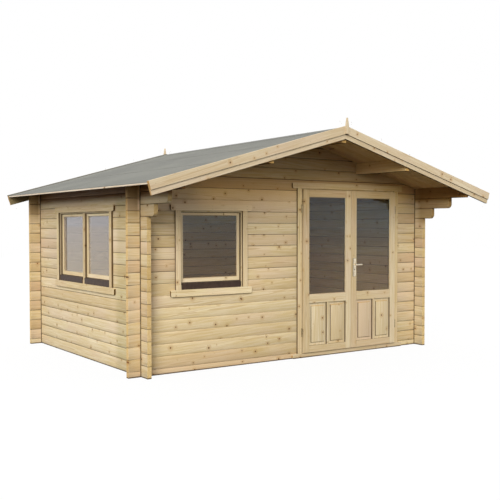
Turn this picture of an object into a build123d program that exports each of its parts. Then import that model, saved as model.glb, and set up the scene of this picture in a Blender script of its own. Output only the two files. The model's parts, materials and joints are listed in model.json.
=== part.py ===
"""Log cabin with a deep front canopy, half-glazed double doors and two windows.

+Z is up, +X runs to the right along the front wall and +Y from the front to the back.
The origin is on the ground, under the middle of the roof. All sizes are in millimetres.
"""
import os
from math import cos, radians, sin, tan

from build123d import *

# Clearances
SEAM = 0.5
FIT = 0.3
PIN_CLEARANCE = 0.05
OVERRUN = 60.0

# Log walls
LOG_HEIGHT = 120.0
LOG_THICKNESS = 45.0
LOG_CHAMFER = 3.0
LOG_OVERHANG = 134.0
WALL_WIDTH = 3820.0
WALL_DEPTH = 2790.0
SIDE_COURSES = 15
NOTCH_SHARE = 0.25
EAVES_LOG_HEIGHT = 117.0

# Corbels, the log ends that step out under the canopy
LOWER_CORBEL = 280.0
UPPER_CORBEL = 550.0
CORBEL_RADIUS = 50.0

# Roof
ROOF_PITCH = 15.65
FRONT_OVERHANG = 828.0
BACK_OVERHANG = 205.0
SIDE_OVERHANG = 337.0
DECK_THICKNESS = 19.0
FELT_THICKNESS = 3.0
FASCIA_THICKNESS = 16.0
FASCIA_HEIGHT = 14.0
FASCIA_SETBACK = 10.0
PURLIN_WIDTH = 50.0
PURLIN_HEIGHT = 135.0
SIDE_PURLIN_OFFSET = 915.0
BARGE_THICKNESS = 25.0
BARGE_WIDTH = 128.0
BARGE_CAP_WIDTH = 80.0
BARGE_CAP_THICKNESS = 11.0
BARGE_RISE = 12.0
FINIAL_WIDTH = 36.0
FINIAL_TIP_WIDTH = 9.0
FINIAL_HEIGHT = 80.0
FINIAL_THICKNESS = 18.0

# Floor
JOIST_HEIGHT = 41.0
JOIST_WIDTH = 45.0
JOIST_COUNT = 6
FLOOR_THICKNESS = 19.0

# Boards that trim the openings, on the outside
TRIM_THICKNESS = 20.0
TRIM_WIDTH = 60.0
TRIM_HEAD_HEIGHT = 65.0
TRIM_FOOT_HEIGHT = 70.0
TRIM_HORN = 54.0
HORN_CHAMFER = 10.0

# Windows, between the inner edges of their trim boards
WINDOW_HEIGHT = 795.0
WINDOW_DROP = 173.0
FRONT_WINDOW_WIDTH = 748.0
FRONT_WINDOW_INSET = 813.0
SIDE_WINDOW_WIDTH = 1408.0
SIDE_WINDOW_INSET = 1382.0
MULLION_WIDTH = 60.0
FRAME_REVEAL = 14.0
FRAME_FOOT_REVEAL = 46.0
FRAME_WIDTH = 35.0
SASH_GAP = 5.0
SASH_STILE = 26.0
SASH_BOTTOM_RAIL = 62.0
SASH_THICKNESS = 36.0
SASH_RECESS = 22.0
GLASS_SETBACK = 10.0
GLASS_THICKNESS = 4.0
DRIP_RAIL_HEIGHT = 72.0
DRIP_RAIL_THICKNESS = 10.0
DRIP_RAIL_FALL = 8.0

# Double doors
DOOR_INSET = 1085.0
DOOR_HEAD_RISE = 105.0
LEAF_WIDTH = 700.0
LEAF_THICKNESS = 38.0
LEAF_PROUD = 40.0
LEAF_STILE = 80.0
LEAF_TOP_RAIL = 80.0
LEAF_MID_RAIL = 94.0
LEAF_BOTTOM_RAIL = 73.0
PANEL_HEIGHT = 480.0
PANEL_THICKNESS = 14.0
PANEL_SETBACK = 16.0
PANEL_MARGIN = 32.0
PANEL_BEVEL = 5.0
PANEL_RAISE = 9.0
MUNTIN_WIDTH = 26.0
LEAF_GAP = 6.0
LEAF_CLEARANCE = 9.0
FRAME_LAP = 22.0
JAMB_WIDTH = 50.0
STOP_GAP = 6.0
SILL_HEIGHT = 50.0
DOOR_HORN = 69.0

# Barrel hinges of the doors
HINGE_RADIUS = 7.0
HINGE_PIN_RADIUS = 3.5
HINGE_PIN_LENGTH = 30.0
HINGE_HALF_LENGTH = 45.0
HINGE_HALF_GAP = 1.0
HINGE_SETBACK = 15.5
HINGE_STANDOFF = 9.0
HINGE_STUD_RADIUS = 3.5
HINGE_ARM_HEIGHT = 24.0
HINGE_ARM_THICKNESS = 6.0
HINGE_LOW = 230.0
HINGE_HIGH_DROP = 215.0

# Handle set on the right leaf
HANDLE_INSET = 45.0
PLATE_WIDTH = 42.0
PLATE_HEIGHT = 206.0
PLATE_THICKNESS = 8.0
PLATE_RADIUS = 6.0
PLATE_BOTTOM = 830.0
LEVER_RISE = 137.0
KEYHOLE_RISE = 81.0
KEYHOLE_RADIUS = 6.0
NECK_RADIUS = 10.0
NECK_LENGTH = 46.0
LEVER_RADIUS = 9.5
LEVER_LENGTH = 86.0
SPINDLE_RADIUS = 5.0
SPINDLE_CLEARANCE = 3.0

# Derived places
SLOPE = tan(radians(ROOF_PITCH))
ROOF_LENGTH = FRONT_OVERHANG + WALL_DEPTH + BACK_OVERHANG
FRONT_FACE = FRONT_OVERHANG - ROOF_LENGTH / 2
BACK_FACE = FRONT_FACE + WALL_DEPTH
SIDE_FACE = WALL_WIDTH / 2
WALL_TOP = SIDE_COURSES * LOG_HEIGHT
ROOF_FRONT = -ROOF_LENGTH / 2 + BARGE_THICKNESS + BARGE_CAP_THICKNESS
ROOF_BACK = ROOF_LENGTH / 2 - BARGE_THICKNESS - BARGE_CAP_THICKNESS
BARGE_TIP = SIDE_FACE + SIDE_OVERHANG
DECK_EDGE = BARGE_TIP - FASCIA_THICKNESS - FASCIA_SETBACK
DECK_RISE = DECK_THICKNESS / cos(radians(ROOF_PITCH))
FELT_RISE = FELT_THICKNESS / cos(radians(ROOF_PITCH))
FLOOR_TOP = JOIST_HEIGHT + FLOOR_THICKNESS + FIT

WINDOW_TOP = WALL_TOP - WINDOW_DROP
WINDOW_BOTTOM = WINDOW_TOP - WINDOW_HEIGHT
FRONT_WINDOW_X = FRONT_WINDOW_INSET - SIDE_FACE
SIDE_WINDOW_Y = FRONT_FACE + SIDE_WINDOW_INSET

DOOR_X = SIDE_FACE - LOG_THICKNESS - DOOR_INSET
DOOR_HALF = LEAF_WIDTH + LEAF_GAP / 2
JAMB_INNER = DOOR_HALF - FRAME_LAP
JAMB_OUTER = JAMB_INNER + JAMB_WIDTH
DOORWAY_HALF = JAMB_OUTER + FIT
DOORWAY_TOP = WALL_TOP + DOOR_HEAD_RISE
HEAD_TOP = DOORWAY_TOP - FIT
LEAF_TOP = HEAD_TOP - JAMB_WIDTH + FRAME_LAP
LEAF_BOTTOM = SILL_HEIGHT + STOP_GAP
LEAF_FRONT = FRONT_FACE - LEAF_PROUD
LEAF_BACK = LEAF_FRONT + LEAF_THICKNESS
FRAME_FRONT = LEAF_BACK + STOP_GAP
DOOR_TRIM_INNER = DOOR_HALF + LEAF_CLEARANCE
PANEL_TOP = LEAF_BOTTOM + LEAF_BOTTOM_RAIL + PANEL_HEIGHT
HINGE_Y = FRONT_FACE - FIT - TRIM_THICKNESS - HINGE_STANDOFF
LEVER_Z = PLATE_BOTTOM + LEAF_BOTTOM + LEVER_RISE


def block(x, y, z):
    """A box between the low and high limits on each axis."""
    centre = Pos(sum(x) / 2, sum(y) / 2, sum(z) / 2)
    return centre * Box(x[1] - x[0], y[1] - y[0], z[1] - z[0])


def prism_x(outline, x):
    """An outline of (y, z) points drawn out along X."""
    wire = Polyline(*[(x[0], y, z) for y, z in outline], close=True)
    return extrude(make_face(wire), amount=x[1] - x[0], dir=(1, 0, 0))


def prism_y(outline, y):
    """An outline of (x, z) points drawn out along Y."""
    wire = Polyline(*[(x, y[0], z) for x, z in outline], close=True)
    return extrude(make_face(wire), amount=y[1] - y[0], dir=(0, 1, 0))


def rod(start, direction, length, radius):
    """A round bar from a start point along a direction."""
    return extrude(Plane(start, z_dir=direction) * Circle(radius), amount=length)


def write(node, *shapes):
    """Write every solid of a sub-part to its own file."""
    solids = [solid for shape in shapes for solid in shape.solids()]
    body = solids[0] if len(solids) == 1 else Compound(children=solids)
    export_step(body, f"parts/{node}.step")


def cut_solids(shape, cutters):
    """The solids that are left of a shape once the cutters are taken away."""
    for cutter in cutters:
        shape = shape - cutter
    return shape.solids()


def underside(x):
    """Height of the roof boards' lower face at a distance from the ridge."""
    return WALL_TOP + EAVES_LOG_HEIGHT + SLOPE * (SIDE_FACE - abs(x))


def log_section(across, z):
    """Section of a wall log: a plank whose long edges are chamfered to a V joint."""
    low, high = across
    bottom, top = z[0] + SEAM / 2, z[1] - SEAM / 2
    c = min(LOG_CHAMFER, (top - bottom) / 3)
    return [
        (low + c, bottom), (high - c, bottom), (high, bottom + c), (high, top - c),
        (high - c, top), (low + c, top), (low, top - c), (low, bottom + c),
    ]


def notches(x, y, z, foot=True, head=True):
    """Blocks that notch a log above and below, where another log crosses it."""
    depth = NOTCH_SHARE * LOG_HEIGHT + SEAM / 2
    wide_x = (x[0] - FIT, x[1] + FIT)
    wide_y = (y[0] - FIT, y[1] + FIT)
    cuts = []
    if foot:
        cuts.append(block(wide_x, wide_y, (z[0] - OVERRUN, z[0] + depth)))
    if head:
        cuts.append(block(wide_x, wide_y, (z[1] - depth, z[1] + OVERRUN)))
    return cuts


LEFT_BAND = (-SIDE_FACE, LOG_THICKNESS - SIDE_FACE)
RIGHT_BAND = (SIDE_FACE - LOG_THICKNESS, SIDE_FACE)
FRONT_BAND = (FRONT_FACE, FRONT_FACE + LOG_THICKNESS)
BACK_BAND = (BACK_FACE - LOG_THICKNESS, BACK_FACE)


def side_log(band, course, front_reach, openings):
    """One log of a side wall, notched over the front and back walls."""
    z = (course * LOG_HEIGHT, (course + 1) * LOG_HEIGHT)
    front = FRONT_FACE - front_reach
    log = prism_y(log_section(band, z), (front, BACK_FACE + LOG_OVERHANG))
    cuts = notches(band, FRONT_BAND, z) + notches(band, BACK_BAND, z)
    if front_reach > LOG_OVERHANG:
        wide = (band[0] - OVERRUN, band[1] + OVERRUN)
        nose = (front - OVERRUN, front + CORBEL_RADIUS)
        corner = block(wide, nose, (z[0] - OVERRUN, z[0] + CORBEL_RADIUS))
        centre = (wide[0], front + CORBEL_RADIUS, z[0] + CORBEL_RADIUS)
        cuts.append(corner - rod(centre, (1, 0, 0), wide[1] - wide[0], CORBEL_RADIUS))
    return cut_solids(log, cuts + openings)


def eaves_log(band):
    """The top log of a side wall, planed to the roof's slope and run out under the canopy."""
    z = (WALL_TOP + SEAM / 2, WALL_TOP + LOG_CHAMFER + SEAM / 2)
    low, high = band
    outline = [
        (low + LOG_CHAMFER, z[0]), (high - LOG_CHAMFER, z[0]), (high, z[1]),
        (high, underside(high) - FIT), (low, underside(low) - FIT), (low, z[1]),
    ]
    log = prism_y(outline, (ROOF_FRONT + FIT, ROOF_BACK - FIT))
    foot_z = (WALL_TOP, WALL_TOP + LOG_HEIGHT)
    cuts = notches(band, FRONT_BAND, foot_z, head=False) + notches(band, BACK_BAND, foot_z, head=False)
    return cut_solids(log, cuts)


def side_wall(band, openings):
    """All logs of a side wall, with the two highest full logs stepped out as corbels."""
    solids = []
    for course in range(SIDE_COURSES):
        reach = {SIDE_COURSES - 2: LOWER_CORBEL, SIDE_COURSES - 1: UPPER_CORBEL}.get(course, LOG_OVERHANG)
        solids += side_log(band, course, reach, openings)
    return solids + eaves_log(band)


def end_courses():
    """Height limits of the front and back courses, from the half log at the ground up."""
    courses = [(0, LOG_HEIGHT / 2)]
    while courses[-1][1] < WALL_TOP:
        courses.append((courses[-1][1], courses[-1][1] + LOG_HEIGHT))
    return courses


def end_wall(band, openings):
    """All logs of the front or back wall up to the eaves, notched over the side walls."""
    solids = []
    reach = SIDE_FACE + LOG_OVERHANG
    for z in end_courses():
        log = prism_x(log_section(band, z), (-reach, reach))
        foot = z[0] > 0
        cuts = notches(LEFT_BAND, band, z, foot) + notches(RIGHT_BAND, band, z, foot)
        solids += cut_solids(log, cuts + openings)
    return solids


def purlin_outlines(gap):
    """Sections of the ridge purlin and the two side purlins, with a gap all round."""
    half = PURLIN_WIDTH / 2
    bottom = underside(0) - PURLIN_HEIGHT - gap
    edge = half + gap
    top = gap - FIT
    ridge = [
        (-edge, bottom), (edge, bottom), (edge, underside(edge) + top),
        (0, underside(0) + top), (-edge, underside(edge) + top),
    ]
    sides = []
    for side in (-1, 1):
        near = side * (SIDE_PURLIN_OFFSET - edge)
        far = side * (SIDE_PURLIN_OFFSET + edge)
        foot = underside(SIDE_PURLIN_OFFSET - half) - PURLIN_HEIGHT - gap
        sides.append([
            (near, foot), (far, foot), (far, underside(far) + top), (near, underside(near) + top),
        ])
    return ridge, sides


def gable(band, openings):
    """The logs above the eaves, cut to the roof's slope and round the purlins."""
    z = end_courses()[-1]
    inner = SIDE_FACE - LOG_THICKNESS - FIT
    depth = (band[0] - OVERRUN, band[1] + OVERRUN)
    attic = prism_y(
        [(-inner, 0), (inner, 0), (inner, underside(inner) - FIT), (0, underside(0) - FIT),
         (-inner, underside(inner) - FIT)], depth)
    ridge, sides = purlin_outlines(FIT)
    holes = [prism_y(outline, depth) for outline in [ridge] + sides]
    solids = []
    while z[1] < underside(0):
        z = (z[1], z[1] + LOG_HEIGHT)
        log = prism_x(log_section(band, z), (-inner, inner)) & attic
        solids += cut_solids(log, holes + openings)
    return solids


def roof_slab(side, low, high, y, edge):
    """One slope of the roof between two heights above the boards' lower face."""
    ridge = side * FIT / 2
    eaves = side * edge
    return prism_y(
        [(ridge, underside(0) + low), (eaves, underside(edge) + low),
         (eaves, underside(edge) + high), (ridge, underside(0) + high)], y)


def barge(side, width, y):
    """One sloping board of a gable: plumb at the ridge, square at its lower end."""
    lift = DECK_RISE + FELT_RISE + BARGE_RISE
    pitch = radians(ROOF_PITCH)
    ridge = side * FIT / 2
    tip_top = underside(BARGE_TIP) + lift
    return prism_y(
        [(ridge, underside(0) + lift), (side * BARGE_TIP, tip_top),
         (side * (BARGE_TIP - width * sin(pitch)), tip_top - width * cos(pitch)),
         (ridge, underside(0) + lift - width / cos(pitch))], y)


def finial(y):
    """A pointed board that covers the joint of a gable's boards and stands up past the ridge."""
    half = FINIAL_WIDTH / 2
    tip = FINIAL_TIP_WIDTH / 2
    ridge = underside(0) + DECK_RISE + FELT_RISE + BARGE_RISE
    foot = ridge - BARGE_CAP_WIDTH / cos(radians(ROOF_PITCH))
    return prism_y(
        [(-half, foot), (half, foot), (half, ridge), (tip, ridge + FINIAL_HEIGHT),
         (-tip, ridge + FINIAL_HEIGHT), (-half, ridge)], y)


def fascia(side):
    """The narrow strip along the lower edge of a roof slope, its top planed to the slope."""
    inner = DECK_EDGE + FIT
    outer = DECK_EDGE + FASCIA_THICKNESS
    foot = underside(outer) + DECK_RISE - FASCIA_HEIGHT
    top_inner = underside(inner) + DECK_RISE
    top_outer = underside(outer) + DECK_RISE
    outline = [(inner, foot), (outer, foot), (outer, top_outer), (inner, top_inner)]
    return prism_y([(side * x, z) for x, z in outline], (ROOF_FRONT + FIT, ROOF_BACK - FIT))


def build_roof():
    """Purlins, roof boards, felt, gable boards, finials and eaves strips."""
    run = (ROOF_FRONT + FIT, ROOF_BACK - FIT)
    ridge, sides = purlin_outlines(0)
    write("ridge_purlin", prism_y(ridge, run))
    write("side_purlins", *[prism_y(outline, run) for outline in sides])
    for name, side in (("left", -1), ("right", 1)):
        write(f"{name}_roof_deck", roof_slab(side, 0, DECK_RISE, run, DECK_EDGE))
        bed = DECK_RISE + FIT
        felt = roof_slab(side, bed, bed + FELT_RISE, run, DECK_EDGE + FASCIA_THICKNESS)
        write(f"{name}_roof_felt", felt)
        write(f"{name}_eaves_fascia", fascia(side))
    end = ROOF_LENGTH / 2
    for name, inner, outer in (("front", ROOF_FRONT, -end), ("back", ROOF_BACK, end)):
        out = 1 if outer > inner else -1
        middle = outer - out * BARGE_CAP_THICKNESS
        board_y = sorted((inner, middle - out * FIT / 2))
        cap_y = sorted((middle + out * FIT / 2, outer))
        finial_y = sorted((outer + out * FIT, outer + out * (FIT + FINIAL_THICKNESS)))
        write(f"{name}_barge_boards", *[barge(side, BARGE_WIDTH, board_y) for side in (-1, 1)])
        write(f"{name}_barge_cappings", *[barge(side, BARGE_CAP_WIDTH, cap_y) for side in (-1, 1)])
        write(f"{name}_finial", finial(finial_y))


def build_floor():
    """Joists on the ground and the floor that they carry, between the walls."""
    inner_x = SIDE_FACE - LOG_THICKNESS - FIT
    y = (FRONT_BAND[1] + FIT, BACK_BAND[0] - FIT)
    pitch = (y[1] - y[0] - JOIST_WIDTH) / (JOIST_COUNT - 1)
    joists = []
    for index in range(JOIST_COUNT):
        front = y[0] + index * pitch
        joists.append(block((-inner_x, inner_x), (front, front + JOIST_WIDTH), (0, JOIST_HEIGHT)))
    write("floor_joists", *joists)
    write("floor_deck", block((-inner_x, inner_x), y, (JOIST_HEIGHT + FIT, FLOOR_TOP)))


def members(half, bottom, top, stile, rail_top, rail_foot, depth):
    """Two uprights and two rails round an opening, as (x, y, z) limits about its middle."""
    low, high = depth
    inner = half - stile
    return [
        ((-half, -inner), (low, high), (bottom, top)),
        ((inner, half), (low, high), (bottom, top)),
        ((-inner + FIT, inner - FIT), (low, high), (top - rail_top, top)),
        ((-inner + FIT, inner - FIT), (low, high), (bottom, bottom + rail_foot)),
    ]


def trim_board(half, z, depth):
    """A level trim board with small chamfers on the corners of its horns."""
    c = HORN_CHAMFER
    return prism_y(
        [(-half + c, z[0]), (half - c, z[0]), (half, z[0] + c), (half, z[1] - c),
         (half - c, z[1]), (-half + c, z[1]), (-half, z[1] - c), (-half, z[0] + c)], depth)


def window(prefix, width, bays, place):
    """A window made at the origin, facing -Y, then moved to its wall by a place."""
    half = width / 2
    trim_y = (-FIT - TRIM_THICKNESS, -FIT)
    trim_half = half + TRIM_WIDTH
    z = (WINDOW_BOTTOM, WINDOW_TOP)
    uprights = []
    for side in (-1, 1):
        x = sorted((side * half, side * trim_half))
        uprights.append(block(x, trim_y, (z[0] + FIT, z[1] - FIT)))
    horns = trim_half + TRIM_HORN
    boards = [
        trim_board(horns, (z[1], z[1] + TRIM_HEAD_HEIGHT), trim_y),
        trim_board(horns, (z[0] - TRIM_FOOT_HEIGHT, z[0]), trim_y),
    ]
    write(f"{prefix}_trim", *[place * piece for piece in uprights + boards])

    inner = half - FRAME_REVEAL
    frame_z = (z[0] + FRAME_REVEAL - FRAME_WIDTH, z[1] - FRAME_REVEAL + FRAME_WIDTH)
    frame_y = (0, LOG_THICKNESS)
    foot = FRAME_WIDTH + FRAME_FOOT_REVEAL - FRAME_REVEAL
    frame = [block(*limits) for limits in
             members(inner + FRAME_WIDTH, *frame_z, FRAME_WIDTH, FRAME_WIDTH, foot, frame_y)]
    light_z = (z[0] + FRAME_FOOT_REVEAL, z[1] - FRAME_REVEAL)
    if bays > 1:
        mullion = MULLION_WIDTH / 2
        post_z = (light_z[0] + FIT, light_z[1] - FIT)
        frame.append(block((-mullion, mullion), frame_y, post_z))
    write(f"{prefix}_frame", *[place * piece for piece in frame])

    sash_y = (SASH_RECESS, SASH_RECESS + SASH_THICKNESS)
    bay = (2 * inner - (bays - 1) * MULLION_WIDTH) / bays
    sash_half = bay / 2 - SASH_GAP
    sash_z = (light_z[0] + FIT, light_z[1] - SASH_GAP)
    glass_half = sash_half - SASH_STILE - FIT
    glass_z = (sash_z[0] + SASH_BOTTOM_RAIL + FIT, sash_z[1] - SASH_STILE - FIT)
    glass_y = (SASH_RECESS + GLASS_SETBACK, SASH_RECESS + GLASS_SETBACK + GLASS_THICKNESS)
    drip_back = SASH_RECESS - FIT
    drip_front = -FIT - DRIP_RAIL_THICKNESS
    drip_seat = light_z[0] + FIT
    drip_top = z[0] + DRIP_RAIL_HEIGHT
    drip = [(-FIT, z[0] + FIT), (-FIT, drip_seat), (drip_back, drip_seat), (drip_back, drip_top),
            (drip_front, drip_top - DRIP_RAIL_FALL), (drip_front, z[0] + FIT)]
    sashes, panes, rails = [], [], []
    for index in range(bays):
        centre = place * Pos((index - (bays - 1) / 2) * (bay + MULLION_WIDTH), 0, 0)
        for limits in members(sash_half, *sash_z, SASH_STILE, SASH_STILE, SASH_BOTTOM_RAIL, sash_y):
            sashes.append(centre * block(*limits))
        panes.append(centre * block((-glass_half, glass_half), glass_y, glass_z))
        rails.append(centre * prism_x(drip, (-sash_half, sash_half)))
    write(f"{prefix}_sash", *sashes)
    write(f"{prefix}_glass", *panes)
    write(f"{prefix}_drip_rail", *rails)

    wall_half = inner + FRAME_WIDTH + FIT
    hole = block((-wall_half, wall_half), (-OVERRUN, LOG_THICKNESS + OVERRUN),
                 (frame_z[0] - FIT, frame_z[1] + FIT))
    return place * hole


def build_door_frame():
    """Jambs, head, sill, outer trim and threshold of the doorway."""
    depth = (FRAME_FRONT, FRONT_FACE + LOG_THICKNESS)
    jambs = []
    for side in (-1, 1):
        x = sorted((DOOR_X + side * JAMB_INNER, DOOR_X + side * JAMB_OUTER))
        jambs.append(block(x, depth, (0, HEAD_TOP)))
    between = (DOOR_X - JAMB_INNER + FIT, DOOR_X + JAMB_INNER - FIT)
    head = block(between, depth, (HEAD_TOP - JAMB_WIDTH, HEAD_TOP))
    sill = block(between, depth, (0, LEAF_BOTTOM + FRAME_LAP))
    write("door_frame", *jambs, head, sill)

    trim_y = (FRONT_FACE - FIT - TRIM_THICKNESS, FRONT_FACE - FIT)
    trim_outer = DOOR_TRIM_INNER + TRIM_WIDTH
    head_z = LEAF_TOP + LEAF_CLEARANCE
    uprights = []
    for side in (-1, 1):
        x = sorted((DOOR_X + side * DOOR_TRIM_INNER, DOOR_X + side * trim_outer))
        uprights.append(block(x, trim_y, (SILL_HEIGHT + FIT, head_z - FIT)))
    horns = trim_outer + DOOR_HORN
    board = Pos(DOOR_X, 0, 0) * trim_board(horns, (head_z, head_z + TRIM_HEAD_HEIGHT), trim_y)
    write("door_trim", *uprights, board)
    write("door_threshold", Pos(DOOR_X, 0, 0) * trim_board(horns, (0, SILL_HEIGHT), trim_y))


def hinge_heights():
    """Middle heights of the two hinges on a leaf."""
    return (LEAF_BOTTOM + HINGE_LOW, LEAF_TOP - HINGE_HIGH_DROP)


def hinge_x(side):
    """Where the hinge axis of a leaf stands."""
    return DOOR_X + side * (DOOR_HALF + HINGE_SETBACK)


def build_frame_hinges():
    """Lower barrel halves with their pins, held by studs in the door's trim."""
    halves = []
    stud_end = FRONT_FACE - FIT - TRIM_THICKNESS - FIT
    for side in (-1, 1):
        x = hinge_x(side)
        for z in hinge_heights():
            barrel = rod((x, HINGE_Y, z - HINGE_HALF_LENGTH), (0, 0, 1), HINGE_HALF_LENGTH, HINGE_RADIUS)
            pin = rod((x, HINGE_Y, z - FIT), (0, 0, 1), HINGE_PIN_LENGTH, HINGE_PIN_RADIUS)
            root = (x, HINGE_Y, z - HINGE_HALF_LENGTH / 2)
            stud = rod(root, (0, 1, 0), stud_end - HINGE_Y, HINGE_STUD_RADIUS)
            halves.append(barrel + pin + stud)
    write("door_hinge_pins", *halves)


def leaf_hinges(side):
    """Upper barrel halves of one leaf, with the arms that hold them to its edge."""
    x = hinge_x(side)
    edge = DOOR_X + side * (DOOR_HALF + FIT)
    halves = []
    for z in hinge_heights():
        bottom = z + HINGE_HALF_GAP
        barrel = rod((x, HINGE_Y, bottom), (0, 0, 1), HINGE_HALF_LENGTH, HINGE_RADIUS)
        middle = bottom + HINGE_HALF_LENGTH / 2
        arm = block(sorted((x, edge)),
                    (HINGE_Y - HINGE_ARM_THICKNESS / 2, HINGE_Y + HINGE_ARM_THICKNESS / 2),
                    (middle - HINGE_ARM_HEIGHT / 2, middle + HINGE_ARM_HEIGHT / 2))
        bore = rod((x, HINGE_Y, bottom), (0, 0, 1), HINGE_HALF_LENGTH, HINGE_PIN_RADIUS + PIN_CLEARANCE)
        halves.append(barrel + arm - bore)
    return halves


def raised_panel(x, z):
    """A panel whose middle stands up from a bevel all round."""
    front = LEAF_FRONT + PANEL_SETBACK
    base = block(x, (front, front + PANEL_THICKNESS), z)
    wide, tall = x[1] - x[0] - 2 * PANEL_MARGIN, z[1] - z[0] - 2 * PANEL_MARGIN
    face = Plane((sum(x) / 2, front, sum(z) / 2), x_dir=(1, 0, 0), z_dir=(0, -1, 0))
    foot = face * Rectangle(wide, tall)
    top = face.offset(PANEL_RAISE) * Rectangle(wide - 2 * PANEL_BEVEL, tall - 2 * PANEL_BEVEL)
    return base + loft([foot, top])


def build_leaf(name, side):
    """Stiles, rails, muntin, panels, glass and hinge halves of one door leaf."""
    x = sorted((DOOR_X + side * LEAF_GAP / 2, DOOR_X + side * DOOR_HALF))
    y = (LEAF_FRONT, LEAF_BACK)
    light = (x[0] + LEAF_STILE, x[1] - LEAF_STILE)
    between = (light[0] + FIT, light[1] - FIT)
    stiles = [
        block((x[0], light[0]), y, (LEAF_BOTTOM, LEAF_TOP)),
        block((light[1], x[1]), y, (LEAF_BOTTOM, LEAF_TOP)),
    ]
    if side > 0:
        spindle_hole = rod((lever_x(), LEAF_FRONT - OVERRUN, LEVER_Z), (0, 1, 0),
                           LEAF_THICKNESS + 2 * OVERRUN, SPINDLE_RADIUS + SPINDLE_CLEARANCE)
        stiles[0] = stiles[0] - spindle_hole
    panel_z = (LEAF_BOTTOM + LEAF_BOTTOM_RAIL, PANEL_TOP)
    glass_z = (PANEL_TOP + LEAF_MID_RAIL, LEAF_TOP - LEAF_TOP_RAIL)
    rails = [
        block(between, y, (LEAF_BOTTOM, panel_z[0])),
        block(between, y, (PANEL_TOP, glass_z[0])),
        block(between, y, (glass_z[1], LEAF_TOP)),
    ]
    middle = sum(light) / 2
    muntin = (middle - MUNTIN_WIDTH / 2, middle + MUNTIN_WIDTH / 2)
    post = block(muntin, y, (panel_z[0] + FIT, panel_z[1] - FIT))
    write(f"{name}_door_frame", *stiles, *rails, post)

    inside_z = (panel_z[0] + FIT, panel_z[1] - FIT)
    write(f"{name}_door_panels",
          raised_panel((light[0] + FIT, muntin[0] - FIT), inside_z),
          raised_panel((muntin[1] + FIT, light[1] - FIT), inside_z))
    glass_y = (y[0] + GLASS_SETBACK, y[0] + GLASS_SETBACK + GLASS_THICKNESS)
    write(f"{name}_door_glass", block(between, glass_y, (glass_z[0] + FIT, glass_z[1] - FIT)))
    write(f"{name}_door_hinges", *leaf_hinges(side))


def lever_x():
    """The spindle stands in the right leaf's meeting stile."""
    return DOOR_X + LEAF_GAP / 2 + HANDLE_INSET


def build_handle():
    """Long plates on both faces of the right leaf, and the levers on one spindle."""
    x = lever_x()
    bottom = PLATE_BOTTOM + LEAF_BOTTOM
    plates = []
    levers = rod((x, LEAF_FRONT - PLATE_THICKNESS, LEVER_Z), (0, 1, 0),
                 LEAF_THICKNESS + 2 * PLATE_THICKNESS, SPINDLE_RADIUS)
    for face, out in ((LEAF_FRONT, -1), (LEAF_BACK, 1)):
        seat = face + out * FIT
        plane = Plane((x, seat, bottom + PLATE_HEIGHT / 2), x_dir=(1, 0, 0), z_dir=(0, out, 0))
        outline = plane * RectangleRounded(PLATE_WIDTH, PLATE_HEIGHT, PLATE_RADIUS)
        plate = extrude(outline, amount=PLATE_THICKNESS)
        start = seat - out * OVERRUN
        reach = PLATE_THICKNESS + 2 * OVERRUN
        socket = rod((x, start, LEVER_Z), (0, out, 0), reach, NECK_RADIUS + PIN_CLEARANCE)
        keyhole = rod((x, start, bottom + KEYHOLE_RISE), (0, out, 0), reach, KEYHOLE_RADIUS)
        plates.append(plate - socket - keyhole)
        neck = rod((x, seat + out * FIT, LEVER_Z), (0, out, 0), NECK_LENGTH, NECK_RADIUS)
        grip_y = seat + out * (NECK_LENGTH - LEVER_RADIUS)
        grip = rod((x, grip_y, LEVER_Z), (1, 0, 0), LEVER_LENGTH, LEVER_RADIUS)
        levers = levers + neck + grip
    write("handle_plates", *plates)
    write("lever_handle", levers)


def build_walls(front_hole, side_hole):
    """The four log walls and two gables, opened for the windows and the doors."""
    doorway = block((DOOR_X - DOORWAY_HALF, DOOR_X + DOORWAY_HALF),
                    (FRONT_FACE - OVERRUN, FRONT_FACE + LOG_THICKNESS + OVERRUN), (-OVERRUN, DOORWAY_TOP))
    write("left_wall", *side_wall(LEFT_BAND, [side_hole]))
    write("right_wall", *side_wall(RIGHT_BAND, []))
    front = end_wall(FRONT_BAND, [front_hole, doorway])
    write("front_wall_left", *[log for log in front if log.center().X < DOOR_X])
    write("front_wall_right", *[log for log in front if log.center().X > DOOR_X])
    write("front_gable", *gable(FRONT_BAND, [doorway]))
    write("back_wall", *end_wall(BACK_BAND, []))
    write("back_gable", *gable(BACK_BAND, []))


def main():
    """Build every sub-part and write it."""
    os.makedirs("parts", exist_ok=True)
    front_place = Pos(FRONT_WINDOW_X, FRONT_FACE, 0)
    side_place = Pos(-SIDE_FACE, SIDE_WINDOW_Y, 0) * Rot(0, 0, -90)
    front_hole = window("front_window", FRONT_WINDOW_WIDTH, 1, front_place)
    side_hole = window("side_window", SIDE_WINDOW_WIDTH, 2, side_place)
    build_walls(front_hole, side_hole)
    build_floor()
    build_roof()
    build_door_frame()
    build_frame_hinges()
    build_leaf("left", -1)
    build_leaf("right", 1)
    build_handle()


main()
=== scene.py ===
"""Looks of the log cabin: timber with grain and knots, felt, glass, fittings, light and camera."""

import json
import math
import random

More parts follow.
